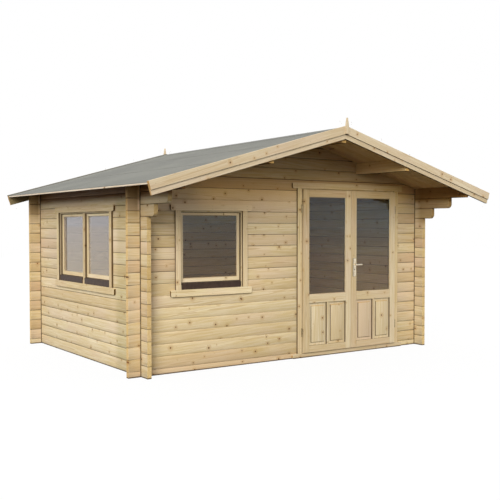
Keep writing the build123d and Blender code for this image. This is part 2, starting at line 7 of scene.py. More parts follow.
import bmesh
import bpy
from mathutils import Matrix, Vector


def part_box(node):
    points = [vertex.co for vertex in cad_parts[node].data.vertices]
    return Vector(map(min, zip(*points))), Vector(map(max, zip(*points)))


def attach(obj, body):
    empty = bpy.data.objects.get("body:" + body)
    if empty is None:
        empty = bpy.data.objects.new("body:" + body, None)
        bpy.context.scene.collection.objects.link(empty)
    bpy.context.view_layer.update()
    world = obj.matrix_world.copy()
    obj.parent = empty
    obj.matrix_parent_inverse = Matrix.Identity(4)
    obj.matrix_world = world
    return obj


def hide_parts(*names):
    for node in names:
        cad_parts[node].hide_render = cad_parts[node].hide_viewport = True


# Lengths are in metres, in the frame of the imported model.
MERGE_DISTANCE = 1e-5
END_COSINE = 0.8
BEVEL_COSINE = 0.95
SMOOTH_ANGLE = math.radians(32)
EDGE_ROUND = 0.0012
GRAIN_SPREAD = 40.0
AXES = (Vector((1, 0, 0)), Vector((0, 1, 0)), Vector((0, 0, 1)))

# Wood: distance between knots, growth rings and the wander of the tree's heart along a board
KNOT_PITCH = 0.15
RING_PITCH = 0.0042
HEART_WANDER = 0.022
# Height of the painted contact shade along the foot of the wood, near the ground
GROUND_SHADE_HEIGHT = 0.016
# Brown of the painted shade on the timber: in seams, on narrow sides, round panels, in corners and at the
# foot
PAINTED_SHADE_BROWN = (70, 50, 32)
WOOD_SHINE = 0.16
# Share of the painted shade at the core of a seam or of a panel's outline
SEAM_SHARE = 0.95

# Where the walls cross, from the middle of the room, and the width of the painted shade line in the inner
# corners there
ROOM_MIDDLE = 0.3115
WALL_REACH = (1.910, 1.395)
LOG_THICKNESS = 0.045
CORNER_SHADE_WIDTH = 0.012

# Painted shade on the timber, with a painted warm tint for the shade near the wall tops and the grey of
# the
# felt turned over the back verge: a colour to multiply by, its share, and the ramps that bound it along
# the axes, away from the middle (aside), above the roof's slope (roof) or by the way a face turns toward
# the back (turn)
ROOF_SLOPE = math.tan(math.radians(15.65))
VERGE_RISE = 0.012
# Painted warm tint for the shade near the top of the log walls, and painted shade on the log ends under
# the eaves
FRONT_SHADES = (
    ((255, 247, 220), 1.0, (("z", 1.7, 1.92),)),
    ((196, 188, 172), 1.0, (("aside", 1.92, 1.95), ("z", 1.46, 1.7))),
)
# Painted shade under the left wall's eaves and beside its front corner
LEFT_SHADES = (
    ((132, 100, 62), 0.95, (("z", 1.712, 1.79),)),
    ((233, 234, 224), 1.0, (("y", -0.46, -0.62), ("y", -1.1, -1.06))),
)
# Painted shade under the right wall's eaves and under the canopy at its front end
RIGHT_SHADES = (
    ((204, 184, 140), 0.95, (("z", 1.74, 1.795),)),
    ((215, 203, 182), 1.0, (("y", -1.1, -1.2), ("z", 1.45, 1.55))),
)
# Painted shade on the roof boards under the side eaves
EAVES_SHADES = (((138, 114, 86), 0.9, (("aside", 1.915, 1.99), ("y", -1.2, -1.05))),)

# Finishes of the logs: where the painted shade in their seams starts and the colour of their end grain
LOG_SEAM = 0.93
LOG_END = (250, 238, 208)

# Boards that the slabs of the roof and the floor stand for
ROOF_BOARD_WIDTH = 0.092
FLOOR_BOARD_WIDTH = 0.112
BOARD_GAP = 0.0024

# Glazing beads, nails and felt sheets, which are finer than the CAD part's detail
BEAD_WIDTH = 0.005
BEAD_DEPTH = 0.007
BEAD_LIP = 0.003
BEAD_GAP = 0.0004
# Dark seals round the sashes, which also stand for the shade in their gaps
SEAL_WIDTH = 0.0046
SEAL_DEPTH = 0.006
SEAL_SETBACK = 0.009
KEYHOLE_RISE = 0.081
KEYHOLE_RADIUS = 0.0078
# A dark plate behind each handle plate: painted shade round its edges
PLATE_SHADE_RIM = 0.002
PLATE_SHADE_DEPTHS = (0.0064, 0.0078)
NAIL_RADIUS = 0.0028
NAIL_RISE = 0.0006
NAIL_PITCH = 0.42
NAIL_INSET = 0.03
CLOUT_RADIUS = 0.0055
CLOUT_PITCH = 0.16
FELT_SHEETS = 3
FELT_LAP = 0.08
FELT_THICKNESS = 0.003
FELT_CAP = 0.16
FELT_WAVES = 0.0009

# Camera, fitted to the log joints and corners of the photograph
CAMERA_PLACE = (-5.3746, -7.9416, 1.4713)
CAMERA_YAW = math.radians(34.738)
CAMERA_PITCH = math.radians(-1.752)
CAMERA_ROLL = math.radians(0.042)
SENSOR_WIDTH = 36.0
FOCAL_PIXELS = 786.55
IMAGE_WIDTH = 500.0

# Light
SKY_STRENGTH = 1.0
KEY_STRENGTH = 2.45
KEY_ANGLE = math.radians(30)
KEY_ELEVATION = math.radians(24)
KEY_AZIMUTH = math.radians(45)
REAR_STRENGTH = 1.5
FLOOR_SIZE = 60.0
FLOOR_BOUNCE = 0.02
FLOOR_GLOW = 0.93

# Reflections in the side panes: a warm card below the horizon and a bluish one above it
CARD_PLACE = (-4.3, 5.8)
CARD_WIDTH = 3.4
CARDS = {
    "low_card": (0.2, 1.46, 0.45, (1.0, 0.95, 0.82)),
    "high_card": (1.46, 2.4, 0.72, (0.68, 0.83, 1.0)),
}

# Daylight that the floor throws on the lower part of the room
ROOM_PLACE = (0.0, -0.75, 0.35)
ROOM_SIZE = (3.0, 0.4)
ROOM_RADIANCE = 0.8
ROOM_COLOUR = (1.0, 0.94, 0.82)

# Warm light that the canopy's boards throw back on the top of the front wall
FILL_PLACE = (0.2, -1.63, 1.80)
FILL_SIZE = (2.9, 0.2)
FILL_RADIANCE = 0.19
FILL_COLOUR = (1.0, 0.74, 0.2)
FILL_SPREAD = math.radians(50)


def srgb(red, green, blue):
    """A linear colour from eight-bit screen values."""
    def linear(value):
        share = value / 255
        return share / 12.92 if share <= 0.04045 else ((share + 0.055) / 1.055) ** 2.4
    return (linear(red), linear(green), linear(blue), 1.0)


class Finish:
    """A node material that ends in one Principled shader."""

    def __init__(self, name):
        self.material = bpy.data.materials.new(name)
        self.material.use_nodes = True
        self.nodes = self.material.node_tree.nodes
        self.links = self.material.node_tree.links
        self.shader = self.nodes["Principled BSDF"]

    def feed(self, socket, value):
        """Links a socket, or sets a constant on it."""
        if isinstance(value, bpy.types.NodeSocket):
            self.links.new(value, socket)
        else:
            socket.default_value = value

    def add(self, kind, inputs=(), **settings):
        """A node with its settings and its inputs by name or index."""
        node = self.nodes.new(kind)
        for key, value in settings.items():
            setattr(node, key, value)
        for key, value in dict(inputs).items():
            self.feed(node.inputs[key], value)
        return node

    def math(self, operation, first, second=0.0):
        return self.add("ShaderNodeMath", {0: first, 1: second}, operation=operation).outputs[0]

    def mix(self, share, first, second, blend="MIX"):
        """A colour between two, or one blended on the other."""
        node = self.add("ShaderNodeMix", data_type="RGBA", blend_type=blend, clamp_factor=True)
        self.feed(node.inputs[0], share)
        self.feed(node.inputs[6], first)
        self.feed(node.inputs[7], second)
        return node.outputs[2]

    def ramp(self, value, low, high, start=0.0, stop=1.0):
        """A value eased from one range to another and clamped."""
        inputs = {"Value": value, 1: low, 2: high, 3: start, 4: stop}
        return self.add("ShaderNodeMapRange", inputs, interpolation_type="SMOOTHSTEP").outputs[0]

    def attribute(self, name):
        return self.add("ShaderNodeAttribute", attribute_name=name)

    def split(self, vector):
        return self.add("ShaderNodeSeparateXYZ", {0: vector}).outputs

    def join(self, x, y, z):
        return self.add("ShaderNodeCombineXYZ", {0: x, 1: y, 2: z}).outputs[0]

    def noise(self, vector, scale, detail=2.0, roughness=0.5):
        inputs = {"Vector": vector, "Scale": scale, "Detail": detail, "Roughness": roughness}
        return self.add("ShaderNodeTexNoise", inputs).outputs[0]

    def bump(self, height, strength, distance):
        node = self.add("ShaderNodeBump", {"Height": height, "Strength": strength, "Distance": distance})
        self.feed(self.shader.inputs["Normal"], node.outputs[0])

    def set(self, **sockets):
        for name, value in sockets.items():
            self.feed(self.shader.inputs[name.replace("_", " ")], value)


def pine(name, pale, golden, rosy, seam=None, edge=0.0, outline=None, crossed=False, shades=(),
         end_shade=(228, 200, 150)):
    """Planed softwood: growth rings, streaks and knots, laid along each board's own grain, and painted
    shade.

    A seam paints shade in the grooves along a log's long edges from that share of its half height, edge
    paints shade on a board's narrow sides, and an outline paints shade round a panel's rim. Crossed logs
    have painted shade lines in the inner corners where the walls cross, all of the wood has painted
    contact shade near the ground, and shades multiply colours into set places: painted shade, a painted
    warm tint for the shade near the wall tops, and the grey of the felt turned over the back verge.
    """
    wood = Finish(name)
    along, across, depth = wood.split(wood.attribute("grain").outputs["Vector"])
    rim = wood.split(wood.attribute("rim").outputs["Vector"])
    heart = wood.split(wood.attribute("heart").outputs["Vector"])
    tone = wood.attribute("tone").outputs["Fac"]
    tint = wood.attribute("tint").outputs["Fac"]
    end = wood.attribute("end").outputs["Fac"]

    cells = wood.add(
        "ShaderNodeTexVoronoi",
        {"Vector": wood.join(along, across, 0.0), "Scale": 1 / KNOT_PITCH},
        voronoi_dimensions="2D",
    )
    pick = wood.add("ShaderNodeSeparateColor", {0: cells.outputs["Color"]}).outputs
    ragged = wood.noise(wood.join(along, across, depth), 160.0)
    distance = wood.math("MULTIPLY", cells.outputs["Distance"], KNOT_PITCH)
    distance = wood.math("ADD", distance, wood.math("MULTIPLY", ragged, 0.007))
    radius = wood.ramp(pick[0], 0.4, 1.0, 0.003, 0.0155)
    nearness = wood.math("DIVIDE", distance, radius)
    knot = wood.ramp(nearness, 1.0, 0.6)
    halo = wood.ramp(nearness, 3.2, 0.9)

    wander = wood.math("MULTIPLY", along, 0.9)
    sway = wood.math("MULTIPLY", wood.noise(wood.join(wander, 3.0, tone), 1.0), HEART_WANDER)
    lean = wood.math("MULTIPLY", wood.noise(wood.join(wander, 9.0, tone), 1.0), HEART_WANDER)
    reach = wood.add(
        "ShaderNodeVectorMath",
        {0: wood.join(0.0, wood.math("ADD", heart[1], sway), wood.math("ADD", heart[2], lean))},
        operation="LENGTH",
    ).outputs["Value"]
    reach = wood.math("ADD", reach, wood.math("MULTIPLY", halo, 0.007))
    rough_ring = wood.noise(wood.join(wood.math("MULTIPLY", along, 0.12), across, depth), 45.0, 2.0)
    phase = wood.math("DIVIDE", reach, RING_PITCH / math.tau)
    phase = wood.math("ADD", phase, wood.math("MULTIPLY", rough_ring, 5.0))
    rings = wood.ramp(wood.math("SINE", phase), -0.2, 1.0)

    bent = wood.math("ADD", across, wood.math("MULTIPLY", halo, 0.016))
    streak = wood.noise(wood.join(wood.math("MULTIPLY", along, 0.05), bent, depth), 60.0, 4.0, 0.62)
    drift = wood.noise(wood.join(wood.math("MULTIPLY", along, 0.35), across, depth), 7.0, 2.0)
    blush = wood.noise(wood.join(wood.math("MULTIPLY", along, 0.6), across, depth), 2.6, 1.0)

    colour = wood.mix(wood.ramp(streak, 0.3, 0.7), pale, golden)
    colour = wood.mix(wood.ramp(tint, 0.5, 1.0, 0.0, 0.6), colour, rosy)
    colour = wood.mix(wood.ramp(blush, 0.48, 0.68, 0.0, 0.4), colour, rosy)
    colour = wood.mix(wood.ramp(drift, 0.4, 0.72, 0.0, 0.25), colour, golden)
    colour = wood.mix(wood.ramp(rings, 0.0, 1.0, 0.0, 0.26), colour, srgb(190, 146, 88), "MULTIPLY")
    colour = wood.mix(wood.ramp(tone, 0.0, 1.0, 0.0, 0.3), colour, srgb(206, 178, 126), "MULTIPLY")
    colour = wood.mix(wood.math("MULTIPLY", halo, 0.36), colour, srgb(178, 132, 70))
    shade = wood.mix(pick[1], srgb(62, 36, 18), srgb(124, 80, 40))
    colour = wood.mix(wood.math("MULTIPLY", knot, 0.94), colour, shade)
    colour = wood.mix(end, colour, srgb(*end_shade), "MULTIPLY")
    # The brown of all the painted shade below
    dark = srgb(*PAINTED_SHADE_BROWN)
    place = wood.split(wood.add("ShaderNodeTexCoord").outputs["Object"])
    normal = wood.split(wood.add("ShaderNodeNewGeometry").outputs["True Normal"])
    aside = wood.math("ABSOLUTE", place[0])
    roof = wood.math("ADD", place[2], wood.math("MULTIPLY", aside, ROOF_SLOPE))
    measures = {"y": place[1], "z": place[2], "aside": aside, "roof": roof, "turn": normal[1]}
    shine = WOOD_SHINE
    # Painted shade in the grooves along a board's long edges, with less shine there
    if seam:
        shadow = wood.ramp(wood.math("ABSOLUTE", rim[1]), seam, 1.0, 0.0, SEAM_SHARE)
        colour = wood.mix(shadow, colour, dark, "MULTIPLY")
        shine = wood.math("MULTIPLY", wood.math("SUBTRACT", 1.0, shadow), shine)
    # Painted shade on the narrow sides marked in lay_grain, with less shine there
    if edge:
        side = wood.math("MULTIPLY", wood.attribute("side").outputs["Fac"], edge)
        colour = wood.mix(side, colour, dark, "MULTIPLY")
        shine = wood.math("MULTIPLY", wood.math("SUBTRACT", 1.0, side), shine)
    # Painted shade round a panel's rim, where it meets its frame
    if outline:
        far_end = wood.ramp(wood.math("ABSOLUTE", rim[0]), 0.9, 1.0)
        far = wood.math("MAXIMUM", wood.math("ABSOLUTE", rim[1]), far_end)
        colour = wood.mix(wood.ramp(far, outline, 1.0, 0.0, SEAM_SHARE), colour, dark, "MULTIPLY")
    # Painted shade lines in the inner corners where the walls cross
    if crossed:
        depth_place = wood.math("SUBTRACT", place[1], ROOM_MIDDLE)
        for along_wall, facing, reach in ((place[0], normal[1], 0), (depth_place, normal[0], 1)):
            away = wood.math("ABSOLUTE", along_wall)
            flat = wood.ramp(wood.math("ABSOLUTE", facing), 0.7, 0.9)
            flat = wood.math("MULTIPLY", flat, wood.math("SUBTRACT", 1.0, end))
            for plane in (WALL_REACH[reach], WALL_REACH[reach] - LOG_THICKNESS):
                gap = wood.math("ABSOLUTE", wood.math("SUBTRACT", away, plane))
                line = wood.math("MULTIPLY", wood.ramp(gap, CORNER_SHADE_WIDTH, CORNER_SHADE_WIDTH * 0.2, 0.0, 0.85), flat)
                colour = wood.mix(line, colour, dark, "MULTIPLY")
    # Painted shade, a painted warm tint and the verge felt's grey in set places
    for tinge, share, bounds in shades:
        for measure, low, high in bounds:
            share = wood.math("MULTIPLY", wood.ramp(measures[measure], low, high), share)
        colour = wood.mix(share, colour, srgb(*tinge), "MULTIPLY")
    # Painted contact shade along the foot, near the ground
    foot = wood.ramp(place[2], GROUND_SHADE_HEIGHT, GROUND_SHADE_HEIGHT / 2, 0.0, 0.85)
    colour = wood.mix(foot, colour, dark, "MULTIPLY")

    wood.set(Base_Color=colour, Roughness=wood.ramp(streak, 0.2, 0.8, 0.52, 0.7), Specular_IOR_Level=shine)
    relief = wood.math("ADD", wood.math("MULTIPLY", rings, 0.4), wood.math("MULTIPLY", streak, 0.8))
    wood.bump(wood.math("SUBTRACT", relief, wood.math("MULTIPLY", knot, 0.5)), 0.2, 0.0012)
    return wood.material


def felt():
    """Grey mineral roofing felt: fine granules with loose dark and pale patches."""
    sheet = Finish("mineral_felt")
    place = sheet.add("ShaderNodeTexCoord").outputs["Object"]
    granules = sheet.noise(place, 900.0, 2.0, 0.7)
    specks = sheet.add("ShaderNodeTexVoronoi", {"Vector": place, "Scale": 420.0}).outputs["Color"]
    patches = sheet.noise(place, 1.1, 3.0, 0.55)
    colour = sheet.mix(sheet.ramp(patches, 0.3, 0.7), srgb(121, 121, 115), srgb(133, 133, 125))
    colour = sheet.mix(sheet.ramp(granules, 0.25, 0.75, 0.0, 0.4), colour, srgb(92, 93, 90))
    fleck = sheet.add("ShaderNodeSeparateColor", {0: specks}).outputs[0]
    colour = sheet.mix(sheet.ramp(fleck, 0.8, 1.0, 0.0, 0.35), colour, srgb(168, 166, 156))
    sheet.set(Base_Color=colour, Roughness=0.92)
    sheet.shader.inputs["Specular IOR Level"].default_value = 0.2
    sheet.bump(granules, 0.5, 0.0015)
    return sheet.material


def glazing(name, haze, low, high):
    """Float glass with a tint that changes with height, a painted reflection of warm ground below and sky
    above, faint smears and a haze that the sun lights.
    """
    pane = Finish(name)
    place = pane.add("ShaderNodeTexCoord").outputs["Object"]
    smear = pane.noise(place, 3.0, 3.0, 0.6)
    # Painted reflection: warmer below, cooler above
    tint = pane.mix(pane.ramp(pane.split(place)[2], 0.9, 1.7), low, high)
    pane.set(Base_Color=tint, Roughness=pane.ramp(smear, 0.4, 0.8, 0.0, 0.02))
    pane.shader.inputs["Transmission Weight"].default_value = 1.0 - haze
    pane.shader.inputs["IOR"].default_value = 1.38
    return pane.material


def painted_rail():
    """Dark brown coated metal with a slight unevenness."""
    rail = Finish("brown_coating")
    place = rail.add("ShaderNodeTexCoord").outputs["Object"]
    cloud = rail.noise(place, 24.0, 3.0)
    fine = rail.noise(place, 700.0, 1.0)
    rail.set(
        Base_Color=rail.mix(rail.ramp(cloud, 0.3, 0.7), srgb(52, 36, 27), srgb(66, 48, 36)),
        Roughness=rail.ramp(fine, 0.3, 0.7, 0.42, 0.56),
    )
    rail.shader.inputs["Specular IOR Level"].default_value = 0.25
    rail.bump(fine, 0.12, 0.0004)
    return rail.material


def seal_and_shade_rubber():
    """Dark rubber of the seals round the sashes, which also stands for the shade in their gaps, of the
    painted shadow in a keyhole, and of the painted shade behind the handle plates.
    """
    seal = Finish("seal_and_shade_dark")
    cloud = seal.noise(seal.add("ShaderNodeTexCoord").outputs["Object"], 60.0)
    seal.set(
        Base_Color=seal.mix(cloud, srgb(40, 30, 22), srgb(58, 44, 32)),
        Roughness=seal.ramp(cloud, 0.2, 0.8, 0.7, 0.9),
    )
    seal.shader.inputs["Specular IOR Level"].default_value = 0.1
    return seal.material


def brushed_metal(name, bright, worn, rough, rim=0.0):
    """Metal brushed along its length, duller where it is worn, with painted shade on the sides of a plate.
    """
    metal = Finish(name)
    place = metal.add("ShaderNodeTexCoord")
    x, y, z = metal.split(place.outputs["Object"])
    brushed = metal.noise(metal.join(x, y, metal.math("MULTIPLY", z, 0.06)), 1500.0, 2.0)
    wear = metal.noise(metal.join(x, y, z), 40.0, 2.0)
    colour = metal.mix(metal.ramp(wear, 0.35, 0.7), bright, worn)
    if rim:
        # Painted shade on the faces that turn away from the front and the back
        facing = metal.math("ABSOLUTE", metal.split(place.outputs["Normal"])[1])
        shaded_sides = metal.ramp(facing, 0.5, 0.2, 0.0, rim)
        colour = metal.mix(shaded_sides, colour, srgb(92, 78, 56))
    metal.set(
        Base_Color=colour,
        Roughness=metal.ramp(brushed, 0.3, 0.7, rough, rough + 0.16),
    )
    metal.shader.inputs["Metallic"].default_value = 1.0
    metal.bump(brushed, 0.08, 0.0003)
    return metal.material


def islands(mesh):
    """The vertices of each separate solid in an edit mesh, in an order that each run repeats."""
    mesh.verts.index_update()
    found = set()
    groups = []
    for first in mesh.verts:
        if first.index in found:
            continue
        found.add(first.index)
        stack = [first]
        group = []
        while stack:
            vertex = stack.pop()
            group.append(vertex)
            for edge in vertex.link_edges:
                other = edge.other_vert(vertex)
                if other.index not in found:
                    found.add(other.index)
                    stack.append(other)
        groups.append(sorted(group, key=lambda v: v.index))

    def middle(group):
        return tuple(round(sum(v.co[i] for v in group) / len(group), 4) for i in (2, 0, 1))
    return sorted(groups, key=middle)


def span(points, axis):
    """The lowest and highest reach of points along an axis."""
    reach = [point.dot(axis) for point in points]
    return min(reach), max(reach)


def grain_axes(points):
    """A board's own directions: along its length, across its width and through its thickness."""
    far = max(((a - b) for a in points for b in points[:8]), key=lambda line: line.length)
    flat = Vector((far.x, 0, far.z))
    size = [span(points, axis)[1] - span(points, axis)[0] for axis in AXES]
    if size[1] < 0.06 and flat.length > 1.0 and 0.05 < abs(far.z) / flat.length < 0.6:
        along = flat.normalized()
        return [along, Vector((-along.z, 0, along.x)), AXES[1]]
    return [AXES[i] for i in sorted(range(3), key=lambda i: -size[i])]


def lay_grain(mesh, seed, outward=None, steep=1 - END_COSINE):
    """Writes each board's grain, rim, heart, tone, tint and end grain to attributes for the pine finish.

    The narrow sides that don't face up are marked too, for painted shade: of each board, or of the
    openings in joinery that faces outward. Sloping boards have only their undersides marked.
    """
    chance = random.Random(seed)
    corners = [vertex.co.copy() for vertex in mesh.verts]
    crossways = [axis for axis in AXES if outward and not axis.dot(outward)]
    rims = [(axis, edge) for axis in crossways for edge in span(corners, axis)]
    vectors = {name: mesh.verts.layers.float_vector.new(name) for name in ("grain", "rim", "heart")}
    values = {name: mesh.verts.layers.float.new(name) for name in ("tone", "tint")}
    end = mesh.faces.layers.float.new("end")
    side = mesh.faces.layers.float.new("side")
    for group in islands(mesh):
        points = [vertex.co.copy() for vertex in group]
        axes = grain_axes(points)
        reach = [span(points, axis) for axis in axes]
        middle = [(low + high) / 2 for low, high in reach]
        half = [max((high - low) / 2, EDGE_ROUND) for low, high in reach]
        shift = Vector(chance.uniform(0, GRAIN_SPREAD) for _ in axes)
        heart_across = chance.uniform(-0.7, 0.7) * half[1]
        heart_depth = chance.choice((-1, 1)) * chance.uniform(0.01, 0.06)
        tree = Vector((0, heart_across, heart_depth))
        shades = {name: chance.random() for name in values}
        for vertex in group:
            local = Vector(vertex.co.dot(axis) - m for axis, m in zip(axes, middle))
            vertex[vectors["grain"]] = local + shift
            vertex[vectors["rim"]] = Vector(place / h for place, h in zip(local, half))
            vertex[vectors["heart"]] = local + tree
            for name, layer in values.items():
                vertex[layer] = shades[name]
            for face in vertex.link_faces:
                face[end] = float(abs(face.normal.dot(axes[0])) > END_COSINE)
                centre = face.calc_center_median()
                inner = all(abs(centre.dot(axis) - edge) > EDGE_ROUND for axis, edge in rims)
                narrow = abs(face.normal.dot(outward or axes[2])) < steep
                sloping = 0.05 < abs(axes[0].z) < 0.6
                narrow = narrow and face.normal.z < (0.0 if sloping else 0.5)
                face[side] = float(inner and narrow and not (sloping and face[end]))


def make_piece(name, mesh, material, body, node=None, edge=EDGE_ROUND):
    """An object from an edit mesh that rides with a body, in place of a CAD node if one is named."""
    data = bpy.data.meshes.new(name)
    mesh.to_mesh(data)
    mesh.free()
    for polygon in data.polygons:
        polygon.use_smooth = True
    data.set_sharp_from_angle(angle=SMOOTH_ANGLE)
    data.materials.append(material)
    piece = bpy.data.objects.new(name, data)
    bpy.context.scene.collection.objects.link(piece)
    if edge:
        rounding = piece.modifiers.new("rounded_edges", "BEVEL")
        rounding.width = edge
        rounding.segments = 2
        rounding.limit_method = "ANGLE"
        rounding.angle_limit = math.radians(50)
    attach(piece, body)
    if node:
        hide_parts(node)
    return piece


def node_mesh(node):
    """A CAD node's mesh with its split corners joined, for editing."""
    mesh = bmesh.new()
    mesh.from_mesh(frame["nodes"][node].data)
    bmesh.ops.remove_doubles(mesh, verts=mesh.verts, dist=MERGE_DISTANCE)
    mesh.normal_update()
    return mesh


def timber(node, material):
    """A wooden CAD node with a grain of its own on every board."""
    mesh = node_mesh(node)
    lay_grain(mesh, node, faced.get(node), BEVEL_COSINE if node in bevelled else 1 - END_COSINE)
    return make_piece(node + "_timber", mesh, material, body_of[node], node)


def sliced_boards(node, axis, width, material, slot):
    """A slab cut into the boards that it stands for, side by side along an axis."""
    whole = node_mesh(node)
    low, high = (corner[axis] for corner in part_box(node))
    count = round((high - low) / width)
    pitch = (high - low) / count
    normal = AXES[axis]
    boards = bmesh.new()
    scratch = bpy.data.meshes.new(node + "_board")
    for index in range(count):
        board = whole.copy()
        for place, outward in ((low + index * pitch, -normal), (low + (index + 1) * pitch, normal)):
            point = normal * place - outward * BOARD_GAP / 2
            everything = board.verts[:] + board.edges[:] + board.faces[:]
            cut = bmesh.ops.bisect_plane(
                board, geom=everything, plane_co=point, plane_no=outward, clear_outer=True
            )
            rim = [edge for edge in cut["geom_cut"] if isinstance(edge, bmesh.types.BMEdge)]
            bmesh.ops.edgeloop_fill(board, edges=rim)
        board.to_mesh(scratch)
        boards.from_mesh(scratch)
        board.free()
    whole.free()
    bpy.data.meshes.remove(scratch)
    bmesh.ops.recalc_face_normals(boards, faces=boards.faces)
    lay_grain(boards, node)
    return make_piece(node + "_boards", boards, material, body_of[node], node)


def prism(mesh, near, far):
    """Adds a solid between two matching outlines of points."""
    ends = [[mesh.verts.new(point) for point in outline] for outline in (near, far)]
    mesh.faces.new(ends[0])
    mesh.faces.new(list(reversed(ends[1])))
    count = len(near)
    for i in range(count):
        j = (i + 1) % count
        mesh.faces.new((ends[0][j], ends[0][i], ends[1][i], ends[1][j]))


def mitred_strips(mesh, limits, side, face, bed, section, edges=(0, 1, 2, 3)):
    """Adds strips of a section of (inset, rise) points along the foot, right, head and left of a box."""
    left, right, foot, head = limits
    corners = ((left, foot, 1, 1), (right, foot, -1, 1), (right, head, -1, -1), (left, head, 1, -1))

    def outline(corner):
        """The section where two strips meet at a corner."""
        across, height, turn, rise = corner
        return [
            side * (across + turn * inset) + AXES[2] * (height + rise * inset) + face * (bed + lift)
            for inset, lift in section
        ]
    for i in edges:
        prism(mesh, outline(corners[i]), outline(corners[(i + 1) % 4]))


def glazing_beads(node, outward, material):
    """Mitred strips with a sloping face that hold each pane of a glass node, on both of its sides."""
    section = ((0, 0), (BEAD_WIDTH, 0), (BEAD_WIDTH, BEAD_LIP), (0, BEAD_DEPTH))
    mesh = bmesh.new()
    glass = node_mesh(node)
    side = next(axis for axis in AXES[:2] if not axis.dot(outward))
    for group in islands(glass):
        points = [vertex.co.copy() for vertex in group]
        for face in (outward, -outward):
            limits = (*span(points, side), *span(points, AXES[2]))
            mitred_strips(mesh, limits, side, face, span(points, face)[1] + BEAD_GAP, section)
    glass.free()
    bmesh.ops.recalc_face_normals(mesh, faces=mesh.faces)
    lay_grain(mesh, node)
    return make_piece(node + "_beads", mesh, material, body_of[node], edge=0.0006)


def sash_seals_and_shade(node, outward, sashes, material):
    """Dark seals in the gap at the sides and the head of each sash of a node, which also stand for the
    shade in that gap.
    """
    section = ((-SEAL_WIDTH, 0), (-0.0002, 0), (-0.0002, SEAL_DEPTH), (-SEAL_WIDTH, SEAL_DEPTH))
    mesh = bmesh.new()
    side = next(axis for axis in AXES[:2] if not axis.dot(outward))
    everything = [vertex.co.copy() for vertex in frame["nodes"][node].data.vertices]
    low, high = span(everything, side)
    pitch = (high - low) / sashes
    for index in range(sashes):
        reach = (low + index * pitch, low + (index + 1) * pitch)
        points = [point for point in everything if reach[0] - 1e-4 <= point.dot(side) <= reach[1] + 1e-4]
        foot, head = span(points, AXES[2])
        limits = (*span(points, side), foot + SEAL_WIDTH * 2, head)
        bed = span(points, outward)[1] - SEAL_SETBACK
        mitred_strips(mesh, limits, side, outward, bed, section, (1, 2, 3))
    bmesh.ops.recalc_face_normals(mesh, faces=mesh.faces)
    return make_piece(node + "_seals", mesh, material, body_of[node], edge=0)


def lock_marks(node, material):
    """The painted shadow of the keyhole, and a thin dark plate behind the outer and the inner handle plate
    that paints the shade round its edges.
    """
    low, high = (Vector(corner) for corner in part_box(node))
    middle = (low + high) / 2
    mesh = bmesh.new()
    for face, outward in ((low.y, -AXES[1]), (high.y, AXES[1])):
        keyhole = Vector((middle.x, face, low.z + KEYHOLE_RISE))
        stud(mesh, keyhole, outward, KEYHOLE_RADIUS, NAIL_RISE, 20)
        stud(mesh, keyhole - AXES[2] * KEYHOLE_RADIUS * 1.2, outward, KEYHOLE_RADIUS * 0.6, NAIL_RISE, 20)
        ring = []
        for depth in PLATE_SHADE_DEPTHS:
            sides = (low.x - PLATE_SHADE_RIM, high.x + PLATE_SHADE_RIM)
            ends = (low.z - PLATE_SHADE_RIM, high.z + PLATE_SHADE_RIM)
            corners = ((0, 0), (1, 0), (1, 1), (0, 1))
            ring.append([Vector((sides[i], face - outward.y * depth, ends[j])) for i, j in corners])
        prism(mesh, *ring)
    bmesh.ops.recalc_face_normals(mesh, faces=mesh.faces)
    return make_piece(node + "_lock_marks", mesh, material, body_of[node], edge=0)


def stud(mesh, place, outward, radius, rise, segments=10):
    """Adds a low domed nail head that faces outward."""
    first = outward.orthogonal().normalized()
    second = outward.cross(first)
    rings = []
    for share, height in ((1.0, 0.0), (1.0, rise * 0.5), (0.6, rise)):
        ring = []
        for i in range(segments):
            angle = math.tau * i / segments
            spoke = (first * math.cos(angle) + second * math.sin(angle)) * radius * share
            ring.append(mesh.verts.new(place + spoke + outward * height))
        rings.append(ring)
    for low, high in zip(rings, rings[1:]):
        for i in range(segments):
            j = (i + 1) % segments
            mesh.faces.new((low[i], low[j], high[j], high[i]))
    mesh.faces.new(rings[-1])


def board_nails(node, outward, material):
    """Nail heads in pairs along the face of every board of a node."""
    mesh = bmesh.new()
    boards = node_mesh(node)
    for group in islands(boards):
        points = [vertex.co.copy() for vertex in group]
        axes = grain_axes(points)
        reach = [span(points, axis) for axis in axes]
        face = span(points, outward)[1]
        length = reach[0][1] - reach[0][0]
        width = reach[1][1] - reach[1][0]
        steps = max(round((length - 4 * NAIL_INSET) / NAIL_PITCH), 1)
        for step in range(steps + 1):
            down = reach[0][0] + 2 * NAIL_INSET + (length - 4 * NAIL_INSET) * step / steps
            for share in (0.25, 0.75):
                flat = axes[0] * down + axes[1] * (reach[1][0] + width * share)
                stud(mesh, flat + outward * face, outward, NAIL_RADIUS, NAIL_RISE)
    boards.free()
    bmesh.ops.recalc_face_normals(mesh, faces=mesh.faces)
    return make_piece(node + "_nails", mesh, material, body_of[node], edge=0)


def roof_slope(node):
    """The ridge and eaves ends of a felt slope's top, its run along the ridge and its outward normal."""
    points = [vertex.co.copy() for vertex in frame["nodes"][node].data.vertices]
    run = span(points, AXES[1])
    ridge = max(points, key=lambda p: p.z - abs(p.x) * 0.01)
    reach = max(abs(p.x) for p in points)
    eaves = max((p for p in points if abs(p.x) > reach - 0.004), key=lambda p: p.z)
    start = Vector((ridge.x, 0, ridge.z))
    stop = Vector((eaves.x, 0, eaves.z))
    down = (stop - start).normalized()
    normal = Vector((-down.z, 0, down.x)) if down.x > 0 else Vector((down.z, 0, -down.x))
    return start, stop, run, normal


